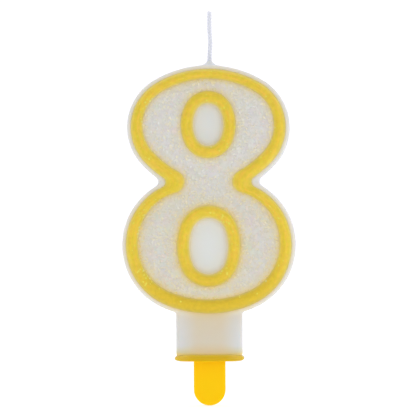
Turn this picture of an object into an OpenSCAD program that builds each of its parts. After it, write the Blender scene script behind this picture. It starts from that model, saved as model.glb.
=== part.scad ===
// Number candle, digit eight, on a plastic cake pick.
// Units are millimetres. The digit stands in the XZ plane and faces -Y.
// The origin is the middle of the plate's underside, where the cake's surface lies.

/* [Digit outline] */
// Height of the top of the digit above the cake
digit_top = 77.2; // [74:0.1:80]
// Height of the lowest point of the lower loop above the cake
digit_bottom = 11.4; // [10.5:0.1:12]
// Radius of the flat arch at the top of the upper loop
upper_cap_r = 27.8; // [25:0.1:30]
// Sweep of that arch on each side of the middle
upper_cap_sweep = 31; // [27:1:34]
// Radius of the upper loop's sides
upper_side_r = 14.3; // [13:0.1:15]
// Sweep of the upper loop's sides
upper_side_sweep = 103; // [98:1:106]
// Radius of the flank that runs from the upper loop down to the waist
upper_flank_r = 33.6; // [28:0.1:40]
// Radius of the flat arch at the bottom of the lower loop
lower_cap_r = 30.1; // [27:0.1:33]
// Sweep of that arch on each side of the middle
lower_cap_sweep = 23; // [19:1:26]
// Radius of the lower loop's sides
lower_side_r = 17.9; // [17:0.1:18.5]
// Fillet radius of the notch at the waist
waist_r = 1.4; // [1:0.1:2]

/* [Counters] */
// Height of the upper counter's middle above the cake
upper_counter_z = 61.6; // [60:0.1:63]
// Half width of the upper counter's outline, outside
upper_counter_a = 7.3; // [6.8:0.1:7.6]
// Half height of the upper counter's outline, outside
upper_counter_b = 8.9; // [8.4:0.1:9.2]
// Radius at the top and bottom of the upper counter's outline, outside
upper_counter_r = 6.8; // [6.2:0.1:6.8]
// Height of the lower counter's middle above the cake
lower_counter_z = 30.0; // [29:0.1:31]
// Half width of the lower counter's outline, outside
lower_counter_a = 8.4; // [8:0.1:8.7]
// Half height of the lower counter's outline, outside
lower_counter_b = 10.7; // [10.2:0.1:11]
// Radius at the top and bottom of the lower counter's outline, outside
lower_counter_r = 7.9; // [7.4:0.1:7.9]
// Depth of the counters' smooth floors below the front face
counter_depth = 1.2; // [0.8:0.1:2.5]

/* [Wax body] */
// Depth of the wax in front of the wick
front_depth = 4.5; // [4:0.1:5]
// Depth of the wax behind the wick
back_depth = 4.3; // [4:0.1:4.8]
// Radius of the digit's rounded front edge
front_edge_r = 0.75; // [0.4:0.05:0.85]
// Radius of the digit's back edge
back_edge_r = 0.35; // [0.2:0.05:0.6]
// How much the mould's draft narrows the digit towards its front
draft = 0.12; // [0:0.02:0.2]
// Width of the stem
stem_w = 17.2; // [16:0.1:17.6]
// Corner radius of the stem
stem_r = 1.1; // [0.6:0.1:1.6]

/* [Outlines and glitter] */
// White rim left outside the yellow outline
rim_w = 1.1; // [1:0.01:1.2]
// Width of the outer outline
outline_w = 3.2; // [2.8:0.1:3.4]
// Width of the outlines round the counters
counter_outline_w = 3.35; // [2.9:0.05:3.4]
// Height of the outlines above the front face
outline_h = 1.1; // [0.6:0.1:1.5]
// How far the outer outline's inner edge lies towards the top, which makes its foot the wider
outline_rise = 0.5; // [0:0.05:0.5]
// Fillet radius of the outer outline's inner edge at the waist
outline_waist_r = 3.0; // [2.4:0.1:3.4]
// Thickness of the clear glitter coat
coat_t = 0.15; // [0.1:0.01:0.25]
// Width of a glitter flake across its flats
flake_w = 0.6; // [0.3:0.05:0.8]
// Thickness of a glitter flake
flake_t = 0.06; // [0.04:0.01:0.1]
// Mean distance between flakes
flake_pitch = 2.6; // [2:0.1:4]

/* [Wick] */
// How far right of the middle the wick stands
wick_x = 0.4; // [-0.6:0.05:0.6]
// Diameter of the waxed cotton wick
wick_d = 0.95; // [0.6:0.05:1.2]
// Length of bare wick above the digit
wick_bare = 13.9; // [10:0.1:16]
// Height of the cone of wax that climbs the wick
collar_h = 1.1; // [0.8:0.1:2]
// Radius of that cone at its foot
collar_r = 1.4; // [1.2:0.1:2.2]

/* [Pick] */
// Width of the plate
plate_w = 18.1; // [17.6:0.1:20]
// Depth of the plate, front to back
plate_d = 10.0; // [9.8:0.1:11]
// Thickness of the plate
plate_t = 1.75; // [1.4:0.05:2.4]
// Corner radius of the plate
plate_r = 2.0; // [1.2:0.1:3]
// Width of the peg and of the tongue
blade_w = 8.3; // [6:0.1:9]
// Thickness of the peg and of the tongue
blade_t = 2.0; // [1.4:0.1:2.4]
// Length of the peg that goes into the cake
peg_l = 11.6; // [10:0.1:14]
// Length of the tongue that plugs into the stem
tongue_l = 13.0; // [10:0.1:14]
// Clearance round the tongue in its slot
slot_gap = 0.08; // [0.05:0.01:0.1]
// Clearance above the tongue's tip
slot_end_gap = 0.3; // [0.2:0.1:0.6]

/* [Hidden] */

// Segments of the arcs on one side of the digit
cap_steps = 8;
side_steps = 20;
flank_steps = 5;
waist_steps = 8;
lower_side_steps = 24;
// Segments of a quarter of a counter's outline
oval_end_steps = 12;
oval_side_steps = 4;
// Segments across an outline's half-round section
section_steps = 10;
// Segments of a rounded edge
edge_steps = 4;
// Segments of exact cylinders
round_fn = 48;
// Extra length that lets a cutting tool pass through a face
over = 1;

waist_z = (upper_counter_z + lower_counter_z) / 2 + 1;
stem_d = front_depth + back_depth;
stem_y = (back_depth - front_depth) / 2;
stem_top = digit_bottom + 6;
wick_foot = plate_t + tongue_l + slot_end_gap + 1.5;
wick_tip = digit_top + wick_bare;

// ---- Points and loops ----

function polar(r, a) = r * [cos(a), sin(a)];

// Points from angle a0 towards a1, without the last one, where the next arc starts
function arc(c, r, a0, a1, steps) = [for (i = [0:steps - 1]) c + polar(r, a0 + (a1 - a0) * i / steps)];

function angle_of(v) = atan2(v.y, v.x);

// Meeting point, on the +X side, of two circles
function circle_meet(c0, r0, c1, r1) =
    let (d = norm(c1 - c0), u = (c1 - c0) / d, x = (r0 * r0 - r1 * r1 + d * d) / (2 * d),
         h = sqrt(r0 * r0 - x * x), p = c0 + u * x, v = [-u.y, u.x] * h)
    (p + v).x > (p - v).x ? p + v : p - v;

// The digit's right half from top to bottom, moved inwards by inset, with its own waist fillet
function digit_half(inset, fillet) =
    let (cap = [0, digit_top - upper_cap_r],
         a1 = 90 - upper_cap_sweep,
         side = cap + polar(upper_cap_r - upper_side_r, a1),
         a2 = a1 - upper_side_sweep,
         flank = side + polar(upper_side_r - upper_flank_r, a2),
         low_cap = [0, digit_bottom + lower_cap_r],
         a4 = -90 + lower_cap_sweep,
         low_side = low_cap + polar(lower_cap_r - lower_side_r, a4),
         waist = circle_meet(flank, upper_flank_r - inset + fillet, low_side, lower_side_r - inset + fillet),
         a3 = angle_of(waist - flank),
         b3 = angle_of(waist - low_side))
    concat(arc(cap, upper_cap_r - inset, 90, a1, cap_steps),
           arc(side, upper_side_r - inset, a1, a2, side_steps),
           arc(flank, upper_flank_r - inset, a2, a3, flank_steps),
           arc(waist, fillet, a3 + 180, b3 + 180, waist_steps),
           arc(low_side, lower_side_r - inset, b3, a4, lower_side_steps),
           arc(low_cap, lower_cap_r - inset, a4, -90, cap_steps),
           [[0, digit_bottom + inset]]);

// A half and its mirror image as one closed loop
function both_sides(half) =
    concat(half, [for (i = [len(half) - 2:-1:1]) [-half[i].x, half[i].y]]);

function digit_loop(inset, fillet = waist_r) = both_sides(digit_half(inset, fillet));

// An upright oval of four arcs, moved inwards by inset
function oval_loop(z, a, b, r, inset) =
    let (side_r = (a * a + (b - r) * (b - r) - r * r) / (2 * (a - r)),
         join = angle_of([side_r - a, b - r]),
         end = [0, z + b - r], low_end = [0, z - b + r], side = [a - side_r, z])
    both_sides(concat(arc(end, r - inset, 90, join, oval_end_steps),
                      arc(side, side_r - inset, join, 0, oval_side_steps),
                      arc(side, side_r - inset, 0, -join, oval_side_steps),
                      arc(low_end, r - inset, -join, -90, oval_end_steps),
                      [[0, z - b + inset]]));

function upper_loop(inset) = oval_loop(upper_counter_z, upper_counter_a, upper_counter_b, upper_counter_r, inset);
function lower_loop(inset) = oval_loop(lower_counter_z, lower_counter_a, lower_counter_b, lower_counter_r, inset);

// The outer outline's two edges
outline_outside = digit_loop(rim_w);
outline_inside = [for (p = digit_loop(rim_w + outline_w, outline_waist_r)) p + [0, outline_rise]];

function at_depth(loop, y) = [for (p = loop) [p.x, y, p.y]];

// ---- Glitter ----

function in_oval(p, z, a, b) = pow(p.x / a, 2) + pow((p.y - z) / b, 2) < 1;

// Whether a flake at p lies on the coat, clear of every outline
function on_coat(p) =
    (in_oval(p, upper_counter_z - 1, upper_side_r + 1.6, 11.2) || in_oval(p, lower_counter_z, lower_side_r - 0.9, 13)
     || (abs(p.x) < 5 && abs(p.y - waist_z) < 4))
    && !in_oval(p, upper_counter_z, upper_counter_a + 0.7, upper_counter_b + 0.7)
    && !in_oval(p, lower_counter_z, lower_counter_a + 0.7, lower_counter_b + 0.7);

// A staggered grid of places with a seeded offset for each
flake_columns = 8;
flake_rows = 26;
flake_places = [for (j = [0:flake_rows], i = [-flake_columns:flake_columns])
    let (o = rands(-0.3, 0.3, 2, 100 * j + i + flake_columns) * flake_pitch)
    [(i + (j % 2) / 2) * flake_pitch + o.x, digit_bottom + 4 + j * flake_pitch * 0.87 + o.y]];

// ---- Solids from loops ----

// The side faces between loop k and loop k1, each of n points
function wall(k, k1, n) = [for (i = [0:n - 1]) [k * n + i, k * n + (i + 1) % n, k1 * n + (i + 1) % n, k1 * n + i]];

// A flat end face on loop k, in level strips from one side of the mirrored outline to the other
function cap_strips(k, n) = let (h = n / 2, at = k * n) concat(
    [[at, at + 1, at + n - 1]],
    [for (i = [1:h - 2]) [at + i, at + i + 1, at + n - 1 - i, at + n - i]],
    [[at + h - 1, at + h, at + h + 1]]);

function reversed(v) = [for (i = [len(v) - 1:-1:0]) v[i]];

// A closed solid through mirrored loops given from back to front
module loft(loops) {
    n = len(loops[0]);
    last = len(loops) - 1;
    polyhedron(points = [for (l = loops) each l],
               faces = concat([for (f = cap_strips(0, n)) reversed(f)],
                              [for (k = [0:last - 1]) each wall(k, k + 1, n)],
                              cap_strips(last, n)),
               convexity = 6);
}

// A half-round bead on the front face between an outer and an inner loop
module bead(outside, inside) {
    n = len(outside);
    loops = [for (k = [0:section_steps])
        let (t = 180 * k / section_steps, share = (1 - cos(t)) / 2, y = -front_depth - outline_h * sin(t))
        at_depth([for (i = [0:n - 1]) outside[i] * (1 - share) + inside[i] * share], y)];
    polyhedron(points = [for (l = loops) each l],
               faces = [for (k = [0:section_steps]) each wall(k, (k + 1) % (section_steps + 1), n)],
               convexity = 6);
}

// A plain slab of the given outline that starts at depth y and runs towards the front
module slab(y, t) {
    translate([0, y, 0]) rotate([90, 0, 0]) linear_extrude(height = t) children();
}

// A flat blade from height z0 to z1, with a half-round end at z1
module blade(w, t, z0, z1) {
    tip = z1 > z0 ? z1 - w / 2 : z1 + w / 2;
    slab(t / 2, t) {
        translate([-w / 2, min(z0, tip)]) square([w, abs(tip - z0)]);
        translate([0, tip]) circle(d = w, $fn = round_fn);
    }
}

// A rounded rectangle standing on height z
module rounded_block(w, d, r, z, h) {
    translate([0, 0, z]) linear_extrude(height = h) {
        square([w - 2 * r, d], center = true);
        square([w, d - 2 * r], center = true);
        for (x = [-1, 1], y = [-1, 1])
            translate([x * (w / 2 - r), y * (d / 2 - r)]) circle(r = r, $fn = round_fn);
    }
}

// ---- Parts of the wax body ----

module digit_block() {
    back_edge = [for (i = [0:edge_steps]) let (t = 90 * i / edge_steps)
        [back_edge_r * (1 - sin(t)), back_depth - back_edge_r * (1 - cos(t))]];
    front_edge = [for (i = [0:edge_steps]) let (t = 90 * i / edge_steps)
        [draft + front_edge_r * (1 - cos(t)), -front_depth + front_edge_r * (1 - sin(t))]];
    loft([for (e = concat(back_edge, front_edge)) at_depth(digit_loop(e[0]), e[1])]);
}

// The recess inside a counter, with a rounded foot
module counter_recess(loops) {
    loft([at_depth(loops[2], -front_depth + counter_depth),
          at_depth(loops[1], -front_depth + 0.7 * counter_depth),
          at_depth(loops[0], -front_depth - over)]);
}

module stem() {
    translate([0, stem_y, 0]) rounded_block(stem_w, stem_d, stem_r, plate_t, stem_top - plate_t);
}

module wick_collar() {
    root = 0.2;
    translate([wick_x, 0, digit_top - root])
        cylinder(h = collar_h + root, r1 = collar_r, r2 = wick_d / 2 + 0.1, $fn = round_fn);
}

module wick_rod(d, foot) {
    translate([wick_x, 0, foot]) cylinder(h = wick_tip - foot, d = d, $fn = round_fn);
}

// ---- Sub-parts, one module each ----

module wax_body() {
    color("#e9e6de") difference() {
        union() {
            digit_block();
            stem();
            wick_collar();
        }
        counter_recess([for (d = [0, 0.25, 0.8]) upper_loop(counter_outline_w + d)]);
        counter_recess([for (d = [0, 0.25, 0.8]) lower_loop(counter_outline_w + d)]);
        blade(blade_w + 2 * slot_gap, blade_t + 2 * slot_gap, plate_t - over, plate_t + tongue_l + slot_end_gap);
        wick_rod(wick_d, wick_foot);
    }
}

module outer_outline() {
    color("#f2c92e") bead(outline_outside, outline_inside);
}

module upper_counter_outline() {
    color("#f2c92e") bead(upper_loop(0), upper_loop(counter_outline_w));
}

module lower_counter_outline() {
    color("#f2c92e") bead(lower_loop(0), lower_loop(counter_outline_w));
}

module glitter_coat() {
    color("#dcd8cc") slab(-front_depth, coat_t) difference() {
        polygon(outline_inside);
        polygon(upper_loop(0));
        polygon(lower_loop(0));
    }
}

module glitter_flakes() {
    places = [for (p = flake_places) if (on_coat(p)) p];
    color("#f1e6f2") for (k = [0:len(places) - 1])
        translate([places[k].x, -front_depth - coat_t, places[k].y]) rotate([90, 37 * k, 0])
            cylinder(h = flake_t, d = flake_w / cos(30), $fn = 6);
}

module wick() {
    color("#e4e6f0") wick_rod(wick_d, wick_foot);
}

module pick() {
    color("#fcc814") {
        rounded_block(plate_w, plate_d, plate_r, 0, plate_t);
        blade(blade_w, blade_t, plate_t / 2, -peg_l);
        blade(blade_w, blade_t, plate_t / 2, plate_t + tongue_l);
    }
}

wax_body();
outer_outline();
upper_counter_outline();
lower_counter_outline();
glitter_coat();
glitter_flakes();
wick();
pick();
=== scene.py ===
"""Looks of a number candle, the digit eight, on its plastic cake pick.

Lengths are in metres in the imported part's frame: X to the right, Z up, and the digit's front faces -Y.
"""

import math

import bmesh
import bpy
import numpy as np
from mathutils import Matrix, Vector, kdtree, noise
from mathutils.geometry import delaunay_2d_cdt


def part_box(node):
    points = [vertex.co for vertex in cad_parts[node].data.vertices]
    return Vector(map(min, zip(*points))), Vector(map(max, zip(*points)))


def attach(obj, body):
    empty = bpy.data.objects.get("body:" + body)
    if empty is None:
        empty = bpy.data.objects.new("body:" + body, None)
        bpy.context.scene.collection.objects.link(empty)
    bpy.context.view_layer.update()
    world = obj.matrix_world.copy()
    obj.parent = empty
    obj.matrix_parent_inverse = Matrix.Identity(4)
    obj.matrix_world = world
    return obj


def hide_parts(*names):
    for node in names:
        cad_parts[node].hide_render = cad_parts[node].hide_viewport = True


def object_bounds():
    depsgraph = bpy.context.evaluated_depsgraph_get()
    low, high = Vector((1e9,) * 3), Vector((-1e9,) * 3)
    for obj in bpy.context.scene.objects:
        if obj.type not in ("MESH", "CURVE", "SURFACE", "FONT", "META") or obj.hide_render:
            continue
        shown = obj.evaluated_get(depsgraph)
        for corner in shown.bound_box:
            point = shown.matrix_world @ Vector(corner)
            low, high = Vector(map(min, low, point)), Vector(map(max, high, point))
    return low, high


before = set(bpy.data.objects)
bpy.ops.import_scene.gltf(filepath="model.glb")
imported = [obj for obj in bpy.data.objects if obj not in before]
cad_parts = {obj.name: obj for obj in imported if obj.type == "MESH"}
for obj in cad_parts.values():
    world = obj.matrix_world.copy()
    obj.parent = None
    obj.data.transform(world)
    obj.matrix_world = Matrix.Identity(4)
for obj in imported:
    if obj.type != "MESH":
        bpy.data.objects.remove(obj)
cad_low, cad_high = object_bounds()

MM = 0.001

# ---- Places taken from the frame ----

wax_low, wax_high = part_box("wax_body")
bead_low, bead_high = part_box("outer_outline")
coat_low, coat_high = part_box("glitter_coat")
wick_low, wick_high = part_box("wick")
pick_low, pick_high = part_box("pick")
face_y = bead_high.y  # the digit's front face, on which the beads and the coat lie
bead_height = bead_high.y - bead_low.y
coat_thickness = coat_high.y - coat_low.y
wick_axis = (wick_low + wick_high) / 2
wick_width = wick_high.x - wick_low.x
ring_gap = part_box("lower_counter_outline")[1].z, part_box("upper_counter_outline")[0].z
waist_z = sum(ring_gap) / 2  # the height of the digit's waist

# ---- Meshes ----


CREASE = math.radians(50)  # an edge sharper than this is not shaded smooth


def new_piece(name, verts, faces, material, smooth=True):
    """A mesh object with outward normals and one material."""
    mesh = bpy.data.meshes.new(name)
    mesh.from_pydata([tuple(v) for v in verts], [], [tuple(f) for f in faces])
    mesh.validate()
    bm = bmesh.new()
    bm.from_mesh(mesh)
    bmesh.ops.recalc_face_normals(bm, faces=bm.faces)
    bm.to_mesh(mesh)
    bm.free()
    for polygon in mesh.polygons:
        polygon.use_smooth = smooth
    if smooth:
        mesh.set_sharp_from_angle(angle=CREASE)
    mesh.materials.append(material)
    piece = bpy.data.objects.new(name, mesh)
    bpy.context.scene.collection.objects.link(piece)
    return piece


def quads(rows, n, closed=False):
    """Faces between rows, which are loops of n points; closed also joins the last row to the first."""
    faces = []
    for k in range(rows if closed else rows - 1):
        above = (k + 1) % rows
        for i in range(n):
            on = (i + 1) % n
            faces.append((k * n + i, k * n + on, above * n + on, above * n + i))
    return faces


def capped(rows, n):
    """Faces of a closed solid through rows of n points."""
    last = (rows - 1) * n
    return [*quads(rows, n), tuple(range(n)), tuple(last + i for i in range(n))]


def shifted(faces, start):
    """The same faces for points that begin at start."""
    return [tuple(start + i for i in face) for face in faces]


def settle(piece, body, slot, *nodes):
    """The piece rides on a CAD body and stands for CAD nodes; slot is not used."""
    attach(piece, body)
    if nodes:
        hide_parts(*nodes)
    return piece


def bake_modifiers(piece):
    """Applies a piece's modifiers to its mesh."""
    graph = bpy.context.evaluated_depsgraph_get()
    mesh = bpy.data.meshes.new_from_object(piece.evaluated_get(graph))
    piece.modifiers.clear()
    piece.data = mesh


def evened(points, edges, passes):
    """Smooths a surface without shrinking it: each pull towards the neighbours is followed by one back."""
    ends = np.concatenate([edges[:, 0], edges[:, 1]])
    others = np.concatenate([edges[:, 1], edges[:, 0]])
    count = np.bincount(ends, minlength=len(points))
    for pull in [0.5, -0.52] * passes:
        sums = [np.bincount(ends, points[others, axis], len(points)) for axis in range(3)]
        points = points + pull * (np.stack(sums, 1) / count[:, None] - points)
    return points


def softened(piece, voxel, passes):
    """Turns a piece into one skin of even quads, with its edges softened as a mould leaves them."""
    remesh = piece.modifiers.new("even quads", "REMESH")
    remesh.mode = "VOXEL"
    remesh.voxel_size = voxel
    bpy.context.view_layer.update()
    bake_modifiers(piece)
    edges = np.empty(len(piece.data.edges) * 2, int)
    piece.data.edges.foreach_get("vertices", edges)
    set_points(piece, evened(get_points(piece), edges.reshape(-1, 2), passes))
    for polygon in piece.data.polygons:
        polygon.use_smooth = True
    return piece


def copied(node, name, material):
    """A new piece with the mesh of a CAD node."""
    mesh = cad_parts[node].data.copy()
    mesh.name = name
    mesh.materials.clear()
    mesh.materials.append(material)
    piece = bpy.data.objects.new(name, mesh)
    bpy.context.scene.collection.objects.link(piece)
    return piece


def get_points(piece):
    points = np.empty(len(piece.data.vertices) * 3)
    piece.data.vertices.foreach_get("co", points)
    return points.reshape(-1, 3)


def set_points(piece, points):
    piece.data.vertices.foreach_set("co", np.asarray(points, np.float32).ravel())
    piece.data.update()


def add_attribute(piece, name, values):
    """A number per vertex that a material reads by name."""
    attribute = piece.data.attributes.new(name, "FLOAT", "POINT")
    attribute.data.foreach_set("value", np.asarray(values, np.float32))


def add_vectors(piece, name, values):
    """A vector per vertex that a material reads by name."""
    attribute = piece.data.attributes.new(name, "FLOAT_VECTOR", "POINT")
    attribute.data.foreach_set("vector", np.asarray(values, np.float32).ravel())


def wobble(points, size, seed):
    """Smooth noise from -1 to 1 at each point, with features of about the given size."""
    shift = Vector((seed * 7.3, seed * 3.1, seed * 5.7))
    return np.array([noise.noise(Vector(p) / size + shift) for p in points])


# ---- Outlines read from the CAD nodes ----


def foot_loops(node):
    """The sharp outlines of a bead's foot in X and Z, the outer one first, each clockwise from its top."""
    bm = bmesh.new()
    bm.from_mesh(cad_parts[node].data)
    bmesh.ops.remove_doubles(bm, verts=bm.verts, dist=1e-7)
    links = {}
    for edge in bm.edges:
        flat = all(abs(v.co.y - face_y) < 1e-6 for v in edge.verts)
        if flat and edge.calc_face_angle(0) > math.radians(45):
            a, b = edge.verts
            links.setdefault(a, []).append(b)
            links.setdefault(b, []).append(a)
    loops = []
    while links:
        start = max(links, key=lambda v: (round(v.co.z, 7), -abs(v.co.x)))
        chain, previous = [start], None
        current = start
        while True:
            onward = [v for v in links[current] if v is not previous]
            if previous is None:
                onward = sorted(onward, key=lambda v: -v.co.x)
            previous, current = current, onward[0]
            if current is start:
                break
            chain.append(current)
        for v in chain:
            del links[v]
        loops.append(np.array([(v.co.x, v.co.z) for v in chain]))
    bm.free()
    return sorted(loops, key=lambda p: -np.ptp(p[:, 0]))


def spline_through(points, knots, wanted):
    """A smooth closed curve through points at knots, read at the wanted places. The last knot closes it."""
    steps = np.diff(knots)
    n = len(points)
    before = np.roll(steps, 1)
    system = np.zeros((n, n))
    rows = np.arange(n)
    system[rows, rows] = 2 * (before + steps)
    system[rows, (rows - 1) % n] = before
    system[rows, (rows + 1) % n] = steps
    slopes = (np.roll(points, -1, 0) - points) / steps[:, None]
    bends = np.linalg.solve(system, 6 * (slopes - np.roll(slopes, 1, 0)))
    at = np.clip(np.searchsorted(knots, wanted, "right") - 1, 0, n - 1)
    nxt = (at + 1) % n
    h = steps[at][:, None]
    u = (wanted - knots[at])[:, None]
    w = h - u
    return (
        (bends[at] * w**3 + bends[nxt] * u**3) / (6 * h)
        + (points[at] / h - bends[at] * h / 6) * w
        + (points[nxt] / h - bends[nxt] * h / 6) * u
    )


def matched_loops(node, count):
    """A bead's outer and inner foot as smooth loops of count points that face each other."""
    loops = foot_loops(node)
    middle = (loops[0] + loops[1]) / 2
    lengths = np.linalg.norm(np.roll(middle, -1, 0) - middle, axis=1)
    knots = np.concatenate([[0], np.cumsum(lengths)])
    wanted = np.linspace(0, knots[-1], count, endpoint=False)
    return [spline_through(loop, knots, wanted) for loop in loops]


def inside(points, loop):
    """Whether each point lies in a closed loop."""
    x, z = points[:, 0][:, None], points[:, 1][:, None]
    a, b = loop, np.roll(loop, -1, 0)
    spans = (a[:, 1] > z) != (b[:, 1] > z)
    rise = np.where(b[:, 1] == a[:, 1], 1e-12, b[:, 1] - a[:, 1])
    crossing = a[:, 0] + (z - a[:, 1]) * (b[:, 0] - a[:, 0]) / rise
    return (spans & (x < crossing)).sum(1) % 2 == 1


def distance_tree(loops):
    points = np.concatenate(loops)
    tree = kdtree.KDTree(len(points))
    for i, (x, z) in enumerate(points):
        tree.insert((x, z, 0), i)
    tree.balance()
    return tree


def distances(points, tree):
    return np.array([tree.find((x, z, 0))[2] for x, z in points])


def pushed(loop, amount):
    """A clockwise loop moved outwards by amount along its normals."""
    tangent = np.roll(loop, -1, 0) - np.roll(loop, 1, 0)
    tangent /= np.linalg.norm(tangent, axis=1)[:, None]
    return loop + amount * np.stack([-tangent[:, 1], tangent[:, 0]], 1)


# ---- Materials ----

DYE_AND_GLOW = (244, 206, 90)  # white wax and lacquer near the beads, as a screen shows it: partly colour bled from the beads, partly a painted yellow glow of their light


def display(r, g, b):
    """A colour as a screen shows it, 0 to 255, as linear numbers."""
    return tuple(((c / 255 + 0.055) / 1.055) ** 2.4 for c in (r, g, b)) + (1.0,)


def put(tree, socket, value):
    """Links a socket to another, or sets its value."""
    if isinstance(value, bpy.types.NodeSocket):
        tree.links.new(value, socket)
    else:
        socket.default_value = value


def node(tree, kind, sockets=None, **settings):
    """A node with its settings and its input sockets, which are named or numbered."""
    made = tree.nodes.new(kind)
    for name, value in settings.items():
        setattr(made, name, value)
    for name, value in (sockets or {}).items():
        put(tree, made.inputs[name], value)
    return made


def new_material(name, **principled):
    """A material and its tree; the keywords are the shader's sockets, with _ for a space."""
    material = bpy.data.materials.new(name)
    material.use_nodes = True
    tree = material.node_tree
    shader = tree.nodes["Principled BSDF"]
    for name, value in principled.items():
        put(tree, shader.inputs[name.replace("_", " ")], value)
    return material, tree, shader


def place(tree):
    """The point on the object, in metres in the part's frame."""
    return node(tree, "ShaderNodeTexCoord").outputs["Object"]


def axis(tree, name):
    """X, Y or Z of the point on the object."""
    return node(tree, "ShaderNodeSeparateXYZ", {0: place(tree)}).outputs[name]


def attribute(tree, name, output="Fac"):
    """What the mesh holds under a name."""
    return node(tree, "ShaderNodeAttribute", attribute_name=name).outputs[output]


def grain(tree, vector, size, detail, roughness):
    """A noise node with features of the given size."""
    sockets = {"Vector": vector, "Scale": 1 / size, "Detail": detail, "Roughness": roughness}
    return node(tree, "ShaderNodeTexNoise", sockets)


def clouds(tree, size, detail=3.0):
    """Noise from 0 to 1 with features of the given size."""
    return grain(tree, place(tree), size, detail, 0.55).outputs["Fac"]


def ramp(tree, value, low, high, start=0.0, end=1.0):
    """value eased from low..high to start..end."""
    made = node(
        tree, "ShaderNodeMapRange",
        {"Value": value, "From Min": low, "From Max": high, "To Min": start, "To Max": end},
        interpolation_type="SMOOTHSTEP",
    )
    return made.outputs["Result"]


def mix(tree, share, a, b, blend="MIX"):
    """Colour a blended with colour b."""
    made = node(tree, "ShaderNodeMix", data_type="RGBA", blend_type=blend)
    put(tree, made.inputs["Factor"], share)
    put(tree, made.inputs[6], a)
    put(tree, made.inputs[7], b)
    return made.outputs[2]


def math_node(tree, operation, a, b=0.0):
    return node(tree, "ShaderNodeMath", {0: a, 1: b}, operation=operation).outputs[0]


def bump(tree, height, strength, distance, under=None):
    sockets = {"Height": height, "Strength": strength, "Distance": distance}
    if under is not None:
        sockets["Normal"] = under
    return node(tree, "ShaderNodeBump", sockets).outputs["Normal"]


def mottled(tree, colour, low, high, size):
    """A colour made a little darker and lighter in patches of the given size."""
    return mix(tree, 1.0, colour, ramp(tree, clouds(tree, size, 2), 0.3, 0.7, low, high), "MULTIPLY")


def pastel(tree, colour, share, size):
    """A colour that drifts towards faint pink, green, cream and lavender in patches of the given size."""
    tones = grain(tree, place(tree), size, 2.0, 0.6).outputs["Color"]
    return mix(tree, share, colour, tones, "SOFT_LIGHT")


def dyed_and_glowing(tree, colour):
    """A colour that turns yellow near a bead: partly colour bled into it from the bead, partly a painted
    glow of the bead's yellow light.
    """
    return mix(tree, attribute(tree, "dye_and_glow"), colour, display(*DYE_AND_GLOW))


def white_wax():
    """Translucent paraffin, with painted light: lighter where the wax is thinner, and a painted warm glow
    where the pick would shine through the stem.
    """
    material, tree, shader = new_material(
        "white_wax", Roughness=0.42, IOR=1.43, Subsurface_Weight=0.6,
        Subsurface_Radius=(1.0, 0.82, 0.62), Subsurface_Scale=1.2 * MM,
        Coat_Weight=0.1, Coat_Roughness=0.25,
    )
    patches = ramp(tree, clouds(tree, 9 * MM), 0.35, 0.7)
    shade = mix(tree, patches, display(215, 216, 215), display(219, 220, 220))
    # Painted light: the wax is painted lighter and cooler where it is thinner, for light shining through it
    # and against the shade in the counters' recesses.
    shade = mix(tree, attribute(tree, "thin_light"), shade, display(229, 234, 235))
    # Painted glow: a warm tint over the tongue and a yellow glow at the stem's foot stand in for light from
    # the yellow pick shining through the wax.
    beside = ramp(tree, math_node(tree, "ABSOLUTE", axis(tree, "X")), 2.5 * MM, 7.8 * MM, 1.0, 0.0)
    below = ramp(tree, axis(tree, "Z"), pick_high.z - 2 * MM, pick_high.z + 5 * MM, 0.9, 0.0)
    shade = mix(tree, math_node(tree, "MULTIPLY", beside, below), shade, display(217, 207, 186))
    height = math_node(tree, "SUBTRACT", axis(tree, "Z"), wax_low.z)
    rise = math_node(tree, "ADD", math_node(tree, "MULTIPLY", beside, 1.0 * MM), 2.5 * MM)
    pick_glow_share = ramp(tree, math_node(tree, "DIVIDE", height, rise), 0.0, 1.0, 0.7, 0.0)
    glow = mix(tree, beside, display(214, 200, 122), display(220, 193, 134))
    shade = mix(tree, pick_glow_share, shade, glow)
    shade = mix(tree, ramp(tree, height, 0.0, 0.8 * MM, 0.6, 0.0), shade, display(240, 204, 96))
    shade = pastel(tree, shade, 0.06, 2.2 * MM)
    frost = mottled(tree, display(208, 209, 211), 0.93, 1.03, 4.5 * MM)
    at_back = ramp(tree, axis(tree, "Y"), wax_high.y - 3 * MM, wax_high.y, 0.0, 0.8)
    put(tree, shader.inputs["Base Color"], dyed_and_glowing(tree, mix(tree, at_back, shade, frost)))
    put(tree, shader.inputs["Roughness"], ramp(tree, clouds(tree, 3 * MM), 0.3, 0.7, 0.36, 0.5))
    fine = bump(tree, clouds(tree, 0.5 * MM, 2), 0.2, 0.02 * MM)
    put(tree, shader.inputs["Normal"], bump(tree, clouds(tree, 4 * MM), 0.3, 0.15 * MM, fine))
    return material


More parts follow.
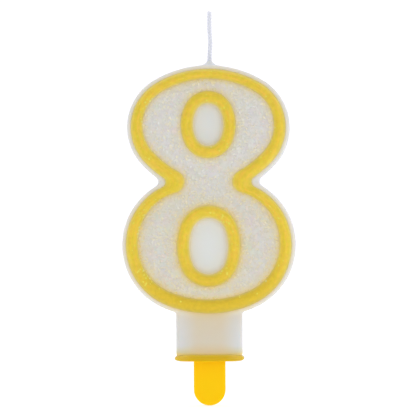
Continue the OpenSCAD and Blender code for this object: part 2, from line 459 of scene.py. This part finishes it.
def yellow_wax():
    """Coloured wax: streaked from lemon to amber along the bead, and paler where it thins out, with painted
    shade towards the bottom and painted light on its flanks and feet.
    """
    material, tree, shader = new_material(
        "yellow_wax", Roughness=0.34, IOR=1.43, Subsurface_Weight=0.25,
        Subsurface_Radius=(1.0, 0.6, 0.15), Subsurface_Scale=0.5 * MM,
        Coat_Weight=0.15, Coat_Roughness=0.2,
    )
    streaks = grain(tree, attribute(tree, "streak", "Vector"), 0.7 * MM, 2.0, 0.5).outputs["Fac"]
    lemon, amber = display(233, 212, 42), display(240, 199, 62)
    tone = mix(tree, 0.55, ramp(tree, clouds(tree, 1.5 * MM), 0.3, 0.7), ramp(tree, streaks, 0.32, 0.68))
    body = mix(tree, tone, lemon, amber)
    side = attribute(tree, "side")
    # Partly painted light: the sides are painted a lighter lemon, which lifts the shade on the bead's
    # flanks.
    body = mix(tree, ramp(tree, side, 0.35, 0.95, 0.0, 0.75), body, display(231, 212, 74))
    body = mix(tree, ramp(tree, streaks, 0.38, 0.6, 0.35, 0.0), body, display(220, 192, 46))
    # Painted shade: the bead, its sides and its feet are painted deeper and darker towards the bottom, as
    # the light falls from above.
    painted_low_shade = ramp(tree, axis(tree, "Z"), bead_low.z, bead_low.z + 18 * MM, 0.9, 0.0)
    edge = ramp(tree, side, 0.3, 0.9)
    body = mix(tree, painted_low_shade, body, mix(tree, edge, display(222, 190, 24), display(211, 184, 40)))
    body = mottled(tree, body, 0.95, 1.04, 1.1 * MM)
    # The feet are paler where the coloured wax thins out, and painted lighter still to lift the shade in
    # the crease at the toes.
    foot = mix(tree, painted_low_shade, display(231, 212, 144), display(219, 200, 134))
    put(tree, shader.inputs["Base Color"], mix(tree, attribute(tree, "pale_and_lit"), body, foot))
    fine = bump(tree, clouds(tree, 0.5 * MM, 2), 0.25, 0.03 * MM)
    put(tree, shader.inputs["Normal"], bump(tree, clouds(tree, 1.4 * MM), 0.3, 0.08 * MM, fine))
    return material


def glitter_lacquer():
    """Clear lacquer over white wax, full of flakes too fine to see one by one, with painted shade: darker
    below the waist.
    """
    material, tree, shader = new_material(
        "glitter_lacquer", Roughness=0.4, IOR=1.45, Subsurface_Weight=0.4,
        Subsurface_Radius=(1.0, 0.85, 0.65), Subsurface_Scale=1.0 * MM,
        Coat_Weight=0.3, Coat_Roughness=0.2,
    )
    # Painted shade: the field is painted darker below the waist and lighter above it.
    upper = ramp(tree, axis(tree, "Z"), waist_z - 6 * MM, waist_z + 6 * MM)
    colour = pastel(tree, mix(tree, upper, display(224, 222, 216), display(230, 226, 220)), 0.45, 2.6 * MM)
    colour = mottled(tree, colour, 0.95, 1.04, 1.2 * MM)
    put(tree, shader.inputs["Base Color"], dyed_and_glowing(tree, colour))
    fine = bump(tree, clouds(tree, 0.35 * MM, 2), 0.3, 0.03 * MM)
    put(tree, shader.inputs["Normal"], bump(tree, clouds(tree, 1.1 * MM), 0.4, 0.08 * MM, fine))
    return material


def glitter_film():
    """Iridescent polyester film: each flake has its own pastel."""
    material, tree, shader = new_material(
        "glitter_film", Roughness=0.25, IOR=1.5, Coat_Weight=0.4, Coat_Roughness=0.12,
    )
    put(tree, shader.inputs["Base Color"], attribute(tree, "tint", "Color"))
    return material


FIBRES = 6  # ridges round a strand of the wick


def wick_cotton():
    """Plaited cotton stiffened with wax."""
    material, tree, shader = new_material(
        "wick_cotton", Roughness=0.7, Sheen_Weight=0.05, Subsurface_Weight=0.3,
        Subsurface_Radius=(1.0, 1.0, 1.0), Subsurface_Scale=0.12 * MM,
    )
    turns = math_node(tree, "MULTIPLY", attribute(tree, "fibre"), 2 * math.pi * FIBRES)
    height = ramp(tree, math_node(tree, "SINE", turns), -1, 1)
    colour = mix(tree, height, display(234, 237, 249), display(243, 245, 255))
    put(tree, shader.inputs["Base Color"], colour)
    put(tree, shader.inputs["Normal"], bump(tree, height, 0.4, 0.02 * MM))
    return material


def yellow_plastic():
    """Moulded polystyrene: the thin peg keeps its bright yellow, and the deep plate is painted darker as
    painted shade, lighter at its ends, with painted light along its top that lifts the crease under the
    wax.
    """
    material, tree, shader = new_material(
        "yellow_plastic", Roughness=0.26, IOR=1.5, Specular_IOR_Level=0.1, Subsurface_Weight=0.5,
        Subsurface_Radius=(1.0, 0.62, 0.06), Subsurface_Scale=1.2 * MM,
    )
    height = axis(tree, "Z")
    # Painted shade: the plate is painted darker than the peg, darkest in its middle.
    ends = ramp(tree, math_node(tree, "ABSOLUTE", axis(tree, "X")), 4 * MM, 7.5 * MM)
    upper = mix(tree, ends, display(211, 176, 38), display(222, 189, 72))
    lower = mix(tree, ends, display(214, 177, 16), display(212, 181, 48))
    plate = mix(tree, ramp(tree, height, 0.1 * MM, 1.2 * MM), lower, upper)
    # Painted light: a pale band along the plate's top lifts the shade of the crease under the wax.
    painted_crease_light = ramp(tree, height, 1.25 * MM, 1.65 * MM, 0.0, ramp(tree, ends, 0, 1, 0.45, 0.95))
    plate = mix(tree, painted_crease_light, plate, display(232, 202, 106))
    peg = display(255, 208, 0)
    above_peg = ramp(tree, height, -0.1 * MM, 0.2 * MM)
    below_tongue = ramp(tree, height, 1.9 * MM, 2.6 * MM, 1.0, 0.0)
    in_plate = math_node(tree, "MULTIPLY", above_peg, below_tongue)
    put(tree, shader.inputs["Base Color"], mix(tree, in_plate, peg, plate))
    put(tree, shader.inputs["Normal"], bump(tree, clouds(tree, 1.5 * MM), 0.15, 0.05 * MM))
    return material


# ---- Wax body ----


WAX_FOOT_DIP = 0.22 * MM  # how far the wax is cast down round the plate's rounded edge
THIN_LIGHT_REACH = 0.9 * MM  # how far inside a counter's ring the wax reaches its full painted brightness
WAX_DYE_AND_GLOW = 0.92  # how much of the beads' yellow the wax takes up: bled colour and painted glow


def bleed_and_glow(points, feet, far=1.0):
    """How much yellow the beads give to places in X and Z: partly colour bled from their feet, partly a
    painted glow of their light.

    A faint tail, scaled by far, reaches some millimetres, most of all low down and at the very top.
    """
    away = distances(points, feet)
    low = 1.1 - 0.5 * np.tanh((points[:, 1] - waist_z) / (6 * MM))
    top = 0.9 * np.exp(-(((bead_high.z - points[:, 1]) / (7 * MM)) ** 2))
    return 0.5 * np.exp(-away / (0.45 * MM)) + 0.23 * far * (low + top) * np.exp(-away / (2.6 * MM))


def sunken_back(points):
    """Lets the poured back sink a little inside its edge, with faint flow ripples."""
    back = points[:, 1] > wax_high.y - 0.12 * MM
    sides = (points[:, 1] > wax_high.y - 1.2 * MM) & (points[:, 1] < wax_high.y - 0.7 * MM)
    depth = distances(points[back][:, [0, 2]], distance_tree([points[sides][:, [0, 2]]]))
    sink = 0.55 * MM * (1 - np.exp(-((depth / (1.8 * MM)) ** 2)))
    ripple = 0.14 * MM * wobble(points[back], 6 * MM, 1) * np.clip(depth / (2.5 * MM), 0, 1)
    points[back, 1] -= np.clip(sink + ripple, 0, None)


def wax_candle(material, rim, counters):
    """The digit and its stem: rim is the outer bead's foot, and counters are the rings' inner feet."""
    piece = softened(copied("wax_body", "candle_wax", material), 0.3 * MM, 9)
    points = get_points(piece)
    sunken_back(points)
    near_foot = np.clip((wax_low.z + 0.7 * MM - points[:, 2]) / (0.6 * MM), 0, 1)
    points[:, 2] -= WAX_FOOT_DIP * near_foot
    set_points(piece, points)
    flat = points[:, [0, 2]]
    front = np.clip((face_y + 3 * MM - points[:, 1]) / (2 * MM), 0, 1)
    feet, rings = distance_tree([rim]), distance_tree(counters)
    on_rim = ~inside(flat, rim) & (flat[:, 1] > bead_low.z + 2 * MM)
    # Painted light in the bead tint: besides bled colour, a painted yellow glow from the beads, which at
    # the counters' rings also lifts the shade on the recess walls.
    from_rim = bleed_and_glow(flat, feet, 0.75 - 0.4 * on_rim)
    from_rings = bleed_and_glow(flat, rings, np.where(flat[:, 1] > waist_z, 1.3, 0.6))
    add_attribute(piece, "dye_and_glow", front * WAX_DYE_AND_GLOW * np.maximum(from_rim, from_rings))
    # Painted light: the counters' floors and the wax just outside the outer bead are painted lighter, for
    # light through thinner wax and against the recesses' shade.
    in_counter = inside(flat, counters[0]) | inside(flat, counters[1])
    thin_light = in_counter * np.clip(0.7 + 0.3 * distances(flat, rings) / THIN_LIGHT_REACH, 0, 1)
    at_edge = 0.7 * ~inside(flat, rim) * np.clip(1.6 - distances(flat, feet) / MM, 0, 1)
    add_attribute(piece, "thin_light", front * np.maximum(thin_light, at_edge))
    return piece


def lathe(profile, centre, steps):
    """Points and faces of a closed body of revolution about Z through centre, from (radius, z) pairs."""
    verts = []
    for radius, z in profile:
        for i in range(steps):
            a = 2 * math.pi * i / steps
            verts.append((centre.x + radius * math.cos(a), centre.y + radius * math.sin(a), z))
    return verts, capped(len(profile), steps)


# ---- Beads ----

BEAD_SECTION = 26  # steps across a bead's rounded section
BEAD_SINK = 0.12 * MM  # how deep a bead's foot reaches into the wax
STREAK = 6  # how many times longer than wide the streaks in a bead are
FADE = 0.9 * MM  # how far from its foot a bead reaches its full colour
SWELL = 0.05  # by what share a bead's height goes up and down
STRAY = 0.05 * MM  # how far a bead's feet stray from their line


def bead_section(share):
    """A bead's height at a share of its width."""
    return bead_height * (4 * share * (1 - share)) ** 1.3


def bead(name, source, material, count, seed, rim_fade):
    """A raised outline of coloured wax between its two foot loops, with a hand-filled unevenness."""
    outer, inner = matched_loops(source, count)
    around = np.stack([outer[:, 0], np.full(count, seed * 1.0), outer[:, 1]], 1)
    swell = 1 - SWELL * (1 + wobble(around, 5 * MM, seed))
    edge_out = STRAY * wobble(around, 2.5 * MM, seed + 1)
    edge_in = STRAY * wobble(around, 2.5 * MM, seed + 2)
    width = np.linalg.norm(inner - outer, axis=1)
    unit = (inner - outer) / width[:, None]
    outer = outer + unit * edge_out[:, None]
    inner = inner + unit * edge_in[:, None]
    turn = np.arange(count) / count * 2 * math.pi
    reach = np.linalg.norm(np.roll(outer, -1, 0) - outer, axis=1).sum() / (2 * math.pi * STREAK)
    rings, pale_and_lit, streak, side = [], [], [], []
    for share in [(1 - math.cos(math.pi * k / BEAD_SECTION)) / 2 for k in range(BEAD_SECTION + 1)]:
        line = outer * (1 - share) + inner * share
        rings.append(np.stack([line[:, 0], face_y - bead_section(share) * swell, line[:, 1]], 1))
        # Paler towards the feet: thinner coloured wax, plus painted light against the crease shade.
        from_rim = rim_fade * np.clip(1 - share * width / FADE, 0, 1) ** 2.5
        from_field = np.clip(1 - (1 - share) * width / FADE, 0, 1) ** 2.5
        pale_and_lit.append(np.maximum(from_rim, from_field))
        streak.append(np.stack([reach * np.cos(turn), reach * np.sin(turn), share * width + seed * MM], 1))
        side.append(np.full(count, abs(2 * share - 1)))
    for line in (inner, outer):
        rings.append(np.stack([line[:, 0], np.full(count, face_y + BEAD_SINK), line[:, 1]], 1))
        pale_and_lit.append(np.ones(count))
        streak.append(np.zeros((count, 3)))
        side.append(np.ones(count))
    piece = new_piece(name, np.concatenate(rings), quads(len(rings), count, closed=True), material)
    add_attribute(piece, "pale_and_lit", np.concatenate(pale_and_lit))
    add_attribute(piece, "side", np.concatenate(side))
    add_vectors(piece, "streak", np.concatenate(streak))
    return piece


# ---- Glitter ----


def field_loops():
    """The loops that bound the glittered field: the outer bead's inner foot and the rings' outer feet."""
    return (
        matched_loops("outer_outline", 420)[1],
        matched_loops("upper_counter_outline", 160)[0],
        matched_loops("lower_counter_outline", 180)[0],
    )


def in_field(points, loops):
    return inside(points, loops[0]) & ~inside(points, loops[1]) & ~inside(points, loops[2])


def coat_height(points, tree):
    """How far the coat stands off the face: a lumpy film that runs out at the beads' toes."""
    away = distances(points, tree)
    film = 0.02 * MM + coat_thickness * (1 - np.exp(-away / (0.35 * MM)))
    flat = np.stack([points[:, 0], np.zeros(len(points)), points[:, 1]], 1)
    lumps = 0.035 * MM * wobble(flat, 1.0 * MM, 11) + 0.03 * MM * wobble(flat, 2.6 * MM, 12)
    return film + lumps * np.clip(away / MM, 0, 1)


def coat(loops, tree, material):
    """The lacquer film as one thin closed solid, tucked under the beads round it."""
    tuck, pitch = 0.1 * MM, 0.5 * MM
    edges = [pushed(loops[0], tuck), pushed(loops[1], -tuck), pushed(loops[2], -tuck)]
    low, high = loops[0].min(0), loops[0].max(0)
    rows = int((high[1] - low[1]) / (pitch * 0.866)) + 1
    columns = int((high[0] - low[0]) / pitch) + 1
    grid = np.array([
        (low[0] + (i + (j % 2) / 2) * pitch, low[1] + j * pitch * 0.866)
        for j in range(rows) for i in range(columns)
    ])
    grid = grid[in_field(grid, edges)]
    grid = grid[distances(grid, distance_tree(edges)) > 0.6 * pitch]
    points, links = [], []
    for loop in edges:
        first = len(points)
        points += [tuple(p) for p in loop]
        links += [(first + i, first + (i + 1) % len(loop)) for i in range(len(loop))]
    points += [tuple(p) for p in grid]
    flat, _, faces, *_ = delaunay_2d_cdt([Vector(p) for p in points], links, [], 1, 1e-7)
    flat = np.array([tuple(p) for p in flat])
    middles = np.array([flat[list(f)].mean(0) for f in faces])
    faces = [f for f, keep in zip(faces, in_field(middles, edges)) if keep]
    n = len(flat)
    front = np.stack([flat[:, 0], face_y - coat_height(flat, tree), flat[:, 1]], 1)
    back = np.stack([flat[:, 0], np.full(n, face_y + 0.1 * MM), flat[:, 1]], 1)
    uses = {}
    for f in faces:
        for a, b in zip(f, (*f[1:], f[0])):
            key = (min(a, b), max(a, b))
            uses[key] = None if key in uses else (a, b)
    walls = [(a, b, b + n, a + n) for a, b in filter(None, uses.values())]
    reverse = [tuple(i + n for i in reversed(f)) for f in faces]
    points = np.concatenate([front, back])
    piece = new_piece("glitter_film_coat", points, [*faces, *walls, *reverse], material)
    add_attribute(piece, "dye_and_glow", np.tile(bleed_and_glow(flat, tree), 2))
    return piece


PASTELS = [  # from greenish through neutral and cream to pink
    (221, 227, 216), (224, 228, 223), (222, 223, 225), (232, 232, 231), (226, 225, 216),
    (234, 230, 210), (230, 223, 207), (227, 221, 215), (231, 224, 218), (231, 220, 220),
]
# Painted glints: a few flakes coloured brighter than the rest stand in for glints, pale on the field and
# yellow on the beads.
SPARKLES = [(242, 238, 224), (238, 228, 140), (240, 228, 84)]
FLAKE_T = 0.03 * MM  # thickness of a flake
FLAKES_TRIED = 4800  # places tried in the box round the field, of which those in the field are kept


def flake(centre, right, up, radius, turn):
    """Corners and faces of one hexagonal flake that lies along right and up."""
    out = np.cross(right, up)
    out *= FLAKE_T / 2 / np.linalg.norm(out)
    corners = [
        centre + side * out + radius * (math.cos(a) * right + math.sin(a) * up)
        for side in (-1, 1)
        for a in (turn + i * math.pi / 3 for i in range(6))
    ]
    edges = [(i, (i + 1) % 6, 6 + (i + 1) % 6, 6 + i) for i in range(6)]
    return corners, [(5, 4, 3, 2, 1, 0), (6, 7, 8, 9, 10, 11), *edges]


def coat_flakes(rng, loops, tree):
    """Places and directions of the flakes in the coat, each tilted a little at random."""
    spots = rng.uniform(loops[0].min(0), loops[0].max(0), (FLAKES_TRIED, 2))
    spots = spots[in_field(spots, loops)]
    flat = np.stack([spots[:, 0], np.zeros(len(spots)), spots[:, 1]], 1)
    drift = 0.6 * wobble(flat, 1.8 * MM, 13) + 0.5 * wobble(flat, 7 * MM, 14)
    # Each flake takes the beads' yellow too: bled colour and painted glow.
    depths, bead_tints = face_y - coat_height(spots, tree), bleed_and_glow(spots, tree)
    # Painted shade: flakes below the waist are painted darker, those above lighter.
    shade_levels = np.tanh((spots[:, 1] - waist_z) / (6 * MM))
    for (x, z), y, share, bead_tint, shade_level in zip(spots, depths, 0.5 + 0.9 * drift, bead_tints, shade_levels):
        tilt = np.radians(rng.normal(0, 8, 2))
        right = np.array([math.cos(tilt[0]), math.sin(tilt[0]), 0])
        up = np.array([0, math.sin(tilt[1]), math.cos(tilt[1])])
        which = int(np.clip(share + rng.normal(0, 0.1), 0, 0.999) * len(PASTELS))
        tint = PASTELS[which] if rng.random() > 0.02 else SPARKLES[0]
        tint = (np.array(tint) + 2.5 * shade_level) * (1 - bead_tint) + np.array(DYE_AND_GLOW) * bead_tint
        yield np.array([x, y, z]), right, up, rng.uniform(0.2, 0.45) * MM, tint


def stray_flakes(rng, source, count, number, from_x):
    """Places and directions of the flakes that stuck to a bead, mostly on the slope towards the field.

    They lie past from_x on its own side of the middle, with a few strays elsewhere.
    """
    outer, inner = matched_loops(source, count)
    along = np.roll(outer, -1, 0) - outer
    for i in rng.integers(0, count, number):
        share = 0.98 - 0.75 * rng.random() ** 2.5 if source == "outer_outline" else rng.uniform(0.05, 0.95)
        if outer[i][0] * math.copysign(1, from_x) < abs(from_x) and rng.random() < 0.9:
            continue
        spot = outer[i] * (1 - share) + inner[i] * share
        rise = bead_section(share + 0.01) - bead_section(share - 0.01)
        slope = np.array([inner[i][0] - outer[i][0], -rise / 0.02, inner[i][1] - outer[i][1]])
        right = np.array([along[i][0], 0, along[i][1]]) / np.linalg.norm(along[i])
        centre = np.array([spot[0], face_y - bead_section(share) * 0.98 - 0.01 * MM, spot[1]])
        tint = SPARKLES[1] if share > 0.85 else SPARKLES[2]
        yield centre, right, slope / np.linalg.norm(slope), rng.uniform(0.14, 0.3) * MM, tint


STRAYS = [  # CAD node, flakes tried, and the x that most of them lie past
    ("outer_outline", 420, -16 * MM),
    ("upper_counter_outline", 40, 3 * MM),
    ("lower_counter_outline", 110, 4.5 * MM),
]


def flake_cloud(loops, tree, material):
    """Thousands of separate flakes in the coat, and a few on the beads."""
    rng = np.random.default_rng(8)
    placed = [*coat_flakes(rng, loops, tree)]
    for source, number, from_x in STRAYS:
        placed += stray_flakes(rng, source, 200, number, from_x)
    verts, faces, tints = [], [], []
    for centre, right, up, radius, tint in placed:
        corners, sides = flake(centre, right, up, radius, rng.uniform(0, math.pi / 3))
        faces += shifted(sides, len(verts))
        verts += corners
        tints += [display(*tint)] * len(corners)
    piece = new_piece("glitter_flake_cloud", verts, faces, material, smooth=False)
    colours = piece.data.attributes.new("tint", "FLOAT_COLOR", "POINT")
    colours.data.foreach_set("color", np.array(tints, np.float32).ravel())
    return piece


# ---- Wick ----


def tube(path, radius, sides):
    """Points and faces of a closed round tube along a path."""
    path = np.asarray(path)
    tangents = np.gradient(path, axis=0)
    tangents /= np.linalg.norm(tangents, axis=1)[:, None]
    verts = []
    for p, t in zip(path, tangents):
        u = np.cross(t, (0, 1, 0))
        u /= np.linalg.norm(u)
        v = np.cross(t, u)
        for i in range(sides):
            a = 2 * math.pi * i / sides
            verts.append(p + radius * (math.cos(a) * u + math.sin(a) * v))
    return verts, capped(len(path), sides)


def wick_line(share):
    """The wick's middle at a share of its length: straight, with one slight kink."""
    foot = wax_high.z - 1.6 * MM
    z = foot + (wick_high.z - foot) * share
    kink = 0.22 * MM * math.exp(-(((share - 0.43) / 0.13) ** 2))
    return np.array([wick_axis.x + kink, wick_axis.y - 0.3 * kink, z])


def plaited_wick(material):
    """Three strands plaited flat, each a closed tube."""
    strand_r, pitch, rings, sides = 0.32 * wick_width, 2.4 * MM, 220, 12
    reach = 0.62 * wick_width - strand_r
    verts, faces, fibre = [], [], []
    for strand in range(3):
        end = 1 - 0.01 * strand
        path = []
        for k in range(rings + 1):
            p = wick_line(end * k / rings)
            phase = 2 * math.pi * (p[2] / pitch + strand / 3)
            path.append(p + [reach * math.sin(phase), 0.55 * reach * math.sin(2 * phase), 0])
        more, sides_of_strand = tube(path, strand_r, sides)
        faces += shifted(sides_of_strand, len(verts))
        verts += more
        fibre += [i / sides + 0.35 * k for k in range(rings + 1) for i in range(sides)]
    piece = new_piece("wick_plait", verts, faces, material)
    add_attribute(piece, "fibre", fibre)
    return piece


ARCH_R = 27.8 * MM  # radius of the digit's top arch
COLLAR_CONE = 1.1 * MM  # how far the CAD body's cone stands above that arch
COLLAR_REACH = 3.2 * MM  # how far from the wick the meniscus runs out
COLLAR_R, COLLAR_CLIMB = 0.7 * MM, 1.05 * MM  # the meniscus's height at a place near the wick
COLLAR_FALL = 0.67 * MM  # over this distance outwards its height falls to 0.37 of that
COLLAR_SINK = 0.05 * MM  # how far the meniscus's edge is sunk into the arch


def wick_collar(material):
    """The meniscus of wax that climbs the wick, laid over the arch of the digit's top."""
    digit_top = wax_high.z - COLLAR_CONE
    radii = np.linspace(COLLAR_REACH, wick_width / 2 + 0.06 * MM, 24)
    climbs = COLLAR_CLIMB * np.exp((COLLAR_R - radii) / COLLAR_FALL) - COLLAR_SINK
    profile = [(COLLAR_REACH, digit_top - 0.4 * MM), *zip(radii, digit_top + climbs)]
    verts, faces = lathe(profile, wick_axis, 48)
    verts = [(x, y, z - x * x / (2 * ARCH_R)) for x, y, z in verts]
    piece = new_piece("wick_collar", verts, faces, material)
    # Painted light: the meniscus is painted lighter near the wick, as thinner wax lets light through.
    away = np.linalg.norm(get_points(piece)[:, :2] - wick_axis.xy, axis=1)
    add_attribute(piece, "thin_light", np.exp(-away / MM))
    return piece


# ---- Pick ----

PLATE_CORNER = 2.0 * MM
PLATE_WAIST = 0.42  # the share of its height at which the plate is widest
PLATE_END = Vector((2.2 * MM, 0.38 * MM))  # how far in from its ends and front the plate is rounded over
BLADE_EDGE = 0.3 * MM  # radius of the peg's edges


def rounded_loop(half_x, half_y, corner, steps=10):
    """An anticlockwise rounded rectangle about the origin."""
    loop = []
    for k, (sx, sy) in enumerate([(1, 1), (-1, 1), (-1, -1), (1, -1)]):
        for i in range(steps + 1):
            a = (k + i / steps) * math.pi / 2
            x = sx * (half_x - corner) + corner * math.cos(a)
            y = sy * (half_y - corner) + corner * math.sin(a)
            loop.append((x, y))
    return loop


def stacked(loops):
    """Points and faces of a closed solid through loops of equal length."""
    return [p for loop in loops for p in loop], capped(len(loops), len(loops[0]))


def cake_pick(material):
    """The plate with its edges rounded over, and one flat blade: the peg below it, the tongue above it."""
    corners = get_points(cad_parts["pick"])
    peg = corners[corners[:, 2] < -2 * MM]
    peg_x, peg_y = peg[:, 0].max(), peg[:, 1].max()
    plate_top = corners[np.abs(corners[:, 1]) > peg_y + 0.5 * MM][:, 2].max()
    waist = PLATE_WAIST * plate_top
    plate = []
    for step in range(-12, 13):
        a = step / 12 * math.pi / 2
        inset = PLATE_END * (1 - math.cos(a) ** 0.8)
        z = waist + math.sin(a) * (plate_top - waist if a > 0 else waist)
        loop = rounded_loop(pick_high.x - inset.x, pick_high.y - inset.y, PLATE_CORNER)
        plate.append([(x, y, z) for x, y in loop])
    blade = []
    middle, half_length = (pick_high.z + pick_low.z) / 2, (pick_high.z - pick_low.z) / 2
    for step in range(-6, 7):
        a = step / 6 * math.pi / 2
        inset = BLADE_EDGE * (1 - math.cos(a))
        y = math.copysign(peg_y - BLADE_EDGE, step) + BLADE_EDGE * math.sin(a) if step else 0.0
        loop = rounded_loop(peg_x - inset, half_length - inset, peg_x - inset - 0.01 * MM)
        blade.append([(x, y, z + middle) for x, z in loop])
    verts, faces = stacked(plate)
    more, sides = stacked(blade)
    piece = new_piece("cake_pick", verts + more, faces + shifted(sides, len(verts)), material)
    return softened(piece, 0.15 * MM, 6)


# ---- Setting ----

TENT_FRONT, TENT_BACK = 0.82, 1.14  # brightness of the white tent
FLOOR_GLOW = 0.58  # light added to the floor round the candle and behind it
KEY_FROM = (0.42, -0.7, 0.16)  # where the key light is, in metres from the candle's middle
KEY_SIZE, KEY_POWER = 0.5, 0.6


def backdrop():
    """A white floor in a white tent; the tent is brighter and a little cooler behind the candle."""
    world = bpy.data.worlds.new("studio")
    world.use_nodes = True
    tree = world.node_tree
    way = node(tree, "ShaderNodeSeparateXYZ", {0: node(tree, "ShaderNodeTexCoord").outputs["Generated"]})
    behind = ramp(tree, way.outputs["Y"], -0.4, 0.3)
    background = tree.nodes["Background"]
    put(tree, background.inputs["Strength"], ramp(tree, behind, 0, 1, TENT_FRONT, TENT_BACK))
    put(tree, background.inputs["Color"], mix(tree, behind, (1, 1, 1, 1), (0.95, 0.935, 1, 1)))
    bpy.context.scene.world = world
    material, tree, shader = new_material("floor_white", Roughness=0.9, Emission_Color=(1, 1, 1, 1))
    spot = node(tree, "ShaderNodeSeparateXYZ", {0: place(tree)})
    near = ramp(tree, spot.outputs["Y"], -0.35, -0.09)
    put(tree, shader.inputs["Base Color"], mix(tree, near, (0.55, 0.55, 0.55, 1), (0.5, 0.5, 0.5, 1)))
    put(tree, shader.inputs["Emission Strength"], math_node(tree, "MULTIPLY", near, FLOOR_GLOW))
    half = 4.0
    corners = [(-half, -half), (half, -half), (half, half), (-half, half)]
    floor = new_piece("floor", [(x, y, cad_low.z) for x, y in corners], [(0, 1, 2, 3)], material)


def soft_light(name, place_from, size, power):
    """A square area light that faces the candle."""
    target = (cad_low + cad_high) / 2
    light = bpy.data.lights.new(name, "AREA")
    light.size, light.energy = size, power
    lamp = bpy.data.objects.new(name, light)
    lamp.location = target + Vector(place_from)
    lamp.rotation_mode = "QUATERNION"
    lamp.rotation_quaternion = (target - lamp.location).to_track_quat("-Z", "Y")
    bpy.context.scene.collection.objects.link(lamp)


def camera():
    """A level view with a long lens, very nearly from the front; the candle leans slightly in it."""
    data = bpy.data.cameras.new("camera")
    data.lens, data.sensor_width = 400, 36
    view_width = 109.2 * MM
    distance = view_width * data.lens / data.sensor_width
    azimuth, roll = math.radians(1.0), math.radians(0.3)
    target = Vector((0.38 * MM, face_y, 39.4 * MM))
    eye = bpy.data.objects.new("camera", data)
    eye.location = target + distance * Vector((math.sin(azimuth), -math.cos(azimuth), 0))
    eye.rotation_euler = (math.radians(90), roll, azimuth)
    bpy.context.scene.collection.objects.link(eye)
    bpy.context.scene.camera = eye
    bpy.context.scene.view_settings.view_transform = "Standard"


# ---- The candle ----

camera()
backdrop()
soft_light("key", KEY_FROM, KEY_SIZE, KEY_POWER)

BEADS = {  # piece: CAD node, points round it, seed, how much paler its outer foot is, partly painted light
    "outer_bead": ("outer_outline", 560, 3, 0.5),
    "upper_bead": ("upper_counter_outline", 200, 5, 1.0),
    "lower_bead": ("lower_counter_outline", 230, 7, 1.0),
}
bead_material = yellow_wax()
for name, (source, count, seed, rim_fade) in BEADS.items():
    settle(bead(name, source, bead_material, count, seed, rim_fade), "candle", "yellow_wax", source)

rim = matched_loops("outer_outline", 420)[0]
counters = [matched_loops(f"{which}_counter_outline", 160)[1] for which in ("upper", "lower")]
wax_material = white_wax()
settle(wax_candle(wax_material, rim, counters), "candle", "white_wax", "wax_body")
settle(wick_collar(wax_material), "candle", "white_wax")

field = field_loops()
field_tree = distance_tree(field)
settle(coat(field, field_tree, glitter_lacquer()), "candle", "glitter_lacquer", "glitter_coat")
settle(flake_cloud(field, field_tree, glitter_film()), "candle", "glitter_film", "glitter_flakes")

settle(plaited_wick(wick_cotton()), "candle", "wick_cotton", "wick")
settle(cake_pick(yellow_plastic()), "pick", "yellow_plastic", "pick")
